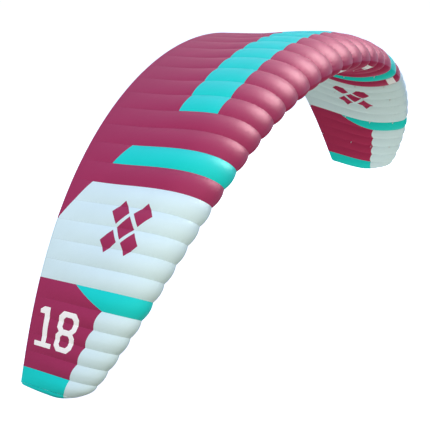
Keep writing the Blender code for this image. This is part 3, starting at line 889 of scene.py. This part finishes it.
for number, near in enumerate(INLET_CELLS, start=1):
    for label, cell in (("r", near), ("l", CELLS + 1 - near)):
        limits = inlet_limits(cell)
        rim = blow_up(flat_patch([grown(limits, cell, RIM_WIDTH), grown(limits, cell, 0)]),
                      f"inlet_rim_{label}{number}", -1, RIM_LIFT, [laminate])
        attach(rim, "canopy")
        declare_cloth(rim)

        flap = blow_up(flat_patch([grown(limits, cell, FLAP_LAP)]), f"inlet_flap_{label}{number}", -1,
                       -FLAP_DEPTH, [laminate])
        front_share = limits[2] - FLAP_LAP / rib_at(cell - 0.5).chord
        hinge = on_cloth(cell - 0.5, front_share, -1, -FLAP_DEPTH)
        behind = on_cloth(cell - 0.5, limits[3], -1, -FLAP_DEPTH)
        rearward = (behind - hinge).normalized()
        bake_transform(flap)
        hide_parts(f"inlet_valve_{label}{number}")
        declare_cloth(flap)


# Deflation zip
# A black coil zip in the middle of the trailing edge lets the air out when the kite is packed.
# Its tape is sewn under the lower cloth, and the slider's pull hangs from it.

TOOTH_PITCH = 0.0024
TOOTH_LENGTH, TOOTH_WIDTH, TOOTH_HEIGHT = 0.0015, 0.0034, 0.0022
TOOTH_REACH, TOOTH_LEAN_SHARE = 1.5, 0.22
TOOTH_BEVEL, TOOTH_SHOULDER_SHARE = 0.0005, 0.6
TOOTH_TOP_MARGIN = 0.0002
TAPE_EDGE, TAPE_BEAD = 0.0018, 0.0003
COIL_BED_SHARE, COIL_BED_HEIGHT = 0.6, 0.0006
ZIP_SHARES = (0.975, 0.99)

rear_points = [on_cloth(CELLS / 2, share, -1) for share in ZIP_SHARES]
zip_along = rib_at(CELLS / 2).along
zip_forward = (rear_points[0] - rear_points[1]).normalized()
zip_outward = zip_along.cross(zip_forward)
corners = [corner.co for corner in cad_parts["deflation_zip"].data.vertices]
axes = (zip_along, zip_forward, zip_outward)
low, high = [[chosen(corner.dot(axis) for corner in corners) for axis in axes] for chosen in (min, max)]
zip_middle = (low[1] + high[1]) / 2
tape_level = high[2] - TOOTH_HEIGHT - TOOTH_TOP_MARGIN


def zip_place(along, forward, outward):
    return zip_along * along + zip_forward * (zip_middle + forward) + zip_outward * outward


zip_black, tree, shader = new_finish("black zip tape", 0.6)
place = node(tree, "TexCoord", {}).outputs["Object"]
ribbing = node(tree, "TexWave", {"Vector": place, "Scale": 320.0, "Distortion": 0.5}).outputs["Fac"]
tint = mix(tree, noise(tree, place, 60.0, 4.0), (0.018, 0.018, 0.02), (0.045, 0.045, 0.05))
tree.links.new(tint, shader.inputs["Base Color"])
emboss(tree, shader, ribbing, 0.0002, 0.6)

half_tape = (high[1] - low[1]) / 2
half_section = [(TOOTH_WIDTH * COIL_BED_SHARE, tape_level + COIL_BED_HEIGHT), (TOOTH_WIDTH, tape_level),
                (half_tape - TAPE_EDGE, tape_level), (half_tape - TAPE_EDGE / 2, tape_level + TAPE_BEAD),
                (half_tape, tape_level - TAPE_BEAD), (half_tape, low[2])]
section = [(-forward, outward) for forward, outward in reversed(half_section)] + half_section
zip_mesh = bmesh.new()
ends = [[zip_mesh.verts.new(zip_place(end, *corner)) for corner in section] for end in (low[0], high[0])]
for index in range(len(section)):
    zip_mesh.faces.new((ends[0][index - 1], ends[0][index], ends[1][index], ends[1][index - 1]))
for end in ends:
    zip_mesh.faces.new(end)
teeth = int((high[0] - low[0]) / TOOTH_PITCH) - 1
for tooth in range(teeth):
    middle = low[0] + (tooth + 1) * TOOTH_PITCH
    lean = TOOTH_WIDTH * TOOTH_LEAN_SHARE * (-1) ** tooth
    rings = []
    for rise, inset in ((0.0, 0.0), (TOOTH_HEIGHT * TOOTH_SHOULDER_SHARE, 0.0), (TOOTH_HEIGHT, TOOTH_BEVEL)):
        reach = (TOOTH_LENGTH / 2 - inset, TOOTH_WIDTH / 2 * TOOTH_REACH - inset)
        rings.append([zip_mesh.verts.new(zip_place(middle + x * reach[0], lean + y * reach[1],
                                                   tape_level + rise))
                      for x, y in ((-1, -1), (1, -1), (1, 1), (-1, 1))])
    for ring, above in zip(rings, rings[1:]):
        for index in range(4):
            zip_mesh.faces.new((ring[index - 1], ring[index], above[index], above[index - 1]))
    zip_mesh.faces.new(rings[0])
    zip_mesh.faces.new(rings[-1])
bmesh.ops.recalc_face_normals(zip_mesh, faces=zip_mesh.faces)
piece = add_piece(zip_mesh, "zip_tape", [zip_black])
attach(piece, "canopy")
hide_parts("deflation_zip")

slider_paint, tree, shader = new_finish("black slider paint", 0.32)
place = node(tree, "TexCoord", {}).outputs["Object"]
worn = fade(tree, noise(tree, place, 220.0, 5.0), 0.72, 0.66)
tree.links.new(mix(tree, worn, (0.02, 0.02, 0.022), (0.25, 0.25, 0.26)), shader.inputs["Base Color"])
give_finish(["zip_slider"], slider_paint)


# The studio
# A pale floor far below the flying kite, and a sky that is white behind it and soft on it. Three lamps light
# its colours from the near side, below and the far side, and a wide one high in front draws the shine.

FLOOR_DROP = 3.0
FLOOR_SIZE = 160.0
FLOOR_LIGHT, FLOOR_GLOW = (0.24, 0.22, 0.1), (0.5, 0.5, 0.5)
SKY_TOP, SKY_RIM = (0.42, 0.55, 1.0), (0.7, 0.7, 0.66)
BLACK, WHITE = (0, 0, 0), (1, 1, 1)


def seen_rays(tree):
    """1 where the camera, a reflection or a clear material looks, 0 where light is gathered."""
    rays = node(tree, "LightPath", {}).outputs
    mirrored = maths(tree, "MAXIMUM", rays["Is Glossy Ray"], rays["Is Transmission Ray"])
    return maths(tree, "MAXIMUM", rays["Is Camera Ray"], mirrored)


floor_mesh = bpy.data.meshes.new("floor")
reach, level = FLOOR_SIZE / 2, cad_box[0].z - FLOOR_DROP
floor_mesh.from_pydata([(-reach, -reach, level), (reach, -reach, level), (reach, reach, level),
                        (-reach, reach, level)], [], [(0, 1, 2, 3)])
floor = bpy.data.objects.new("floor", floor_mesh)
bpy.context.scene.collection.objects.link(floor)
pale_floor, tree, shader = new_finish("pale floor", 0.9)
seen = seen_rays(tree)
tree.links.new(mix(tree, seen, FLOOR_LIGHT, WHITE), shader.inputs["Base Color"])
tree.links.new(mix(tree, seen, BLACK, FLOOR_GLOW), shader.inputs["Emission Color"])
shader.inputs["Emission Strength"].default_value = 1.0
shader.inputs["Specular IOR Level"].default_value = 0.0
floor_mesh.materials.append(pale_floor)

world = bpy.data.worlds.new("soft sky")
bpy.context.scene.world = world
world.use_nodes = True
tree = world.node_tree
upward = node(tree, "SeparateXYZ", {0: node(tree, "TexCoord", {}).outputs["Generated"]}).outputs[2]
sky = mix(tree, fade(tree, upward, 0.0, 0.9), SKY_TOP, SKY_RIM)
tree.links.new(mix(tree, seen_rays(tree), sky, WHITE), tree.nodes["Background"].inputs[0])


def hang_lamp(name, towards, distance, sides, energy, colour):
    lamp = bpy.data.lights.new(name, "AREA")
    lamp.shape = "RECTANGLE"
    lamp.size, lamp.size_y = sides
    lamp.energy, lamp.color = energy, colour
    stand = bpy.data.objects.new(name, lamp)
    direction = Vector(towards).normalized()
    stand.location = (cad_box[0] + cad_box[1]) / 2 + direction * distance
    stand.rotation_mode = "QUATERNION"
    stand.rotation_quaternion = direction.to_track_quat("Z", "Y")
    stand.visible_camera = False
    bpy.context.scene.collection.objects.link(stand)
    return stand


key = hang_lamp("key lamp", (-0.74, -0.3, 0.56), 14.0, (7.0, 7.0), 840.0, (1.0, 0.86, 0.55))
bounce = hang_lamp("bounce lamp", (0.3, -0.15, -0.95), 4.2, (5.0, 4.0), 108.0, (1.0, 0.98, 1.0))
fill = hang_lamp("fill lamp", (0.97, 0.12, 0.02), 14.0, (8.0, 8.0), 650.0, (1.0, 0.93, 0.8))
shine = hang_lamp("shine lamp", (0.4, -0.45, 0.79), 7.0, (6.0, 6.0), 1850.0, (0.9, 1.0, 0.9))
for lamp in (key, bounce, fill):
    lamp.visible_glossy = False
shine.visible_diffuse = False


CAMERA_PLACE = (-14.4726, -9.1773, 5.7641)
CAMERA_HEADING, CAMERA_PITCH, CAMERA_ROLL = 0.9513, -0.4118, -0.0924
SENSOR_WIDTH = 36.0
LENS_IN_PIXELS, PICTURE_WIDTH = 1456.78, 430

camera = bpy.data.cameras.new("camera")
camera.sensor_width = SENSOR_WIDTH
camera.lens = LENS_IN_PIXELS / PICTURE_WIDTH * SENSOR_WIDTH
camera.clip_end = 400.0
view = Vector((math.sin(CAMERA_HEADING) * math.cos(CAMERA_PITCH),
               math.cos(CAMERA_HEADING) * math.cos(CAMERA_PITCH), math.sin(CAMERA_PITCH)))
level_right = view.cross(Vector((0, 0, 1))).normalized()
level_up = level_right.cross(view)
right = level_right * math.cos(CAMERA_ROLL) + level_up * math.sin(CAMERA_ROLL)
up = level_up * math.cos(CAMERA_ROLL) - level_right * math.sin(CAMERA_ROLL)
stand = bpy.data.objects.new("camera", camera)
stand.matrix_world = Matrix.Translation(CAMERA_PLACE) @ Matrix((right, up, -view)).transposed().to_4x4()
bpy.context.scene.collection.objects.link(stand)
bpy.context.scene.camera = stand
bpy.context.scene.view_settings.view_transform = "Standard"
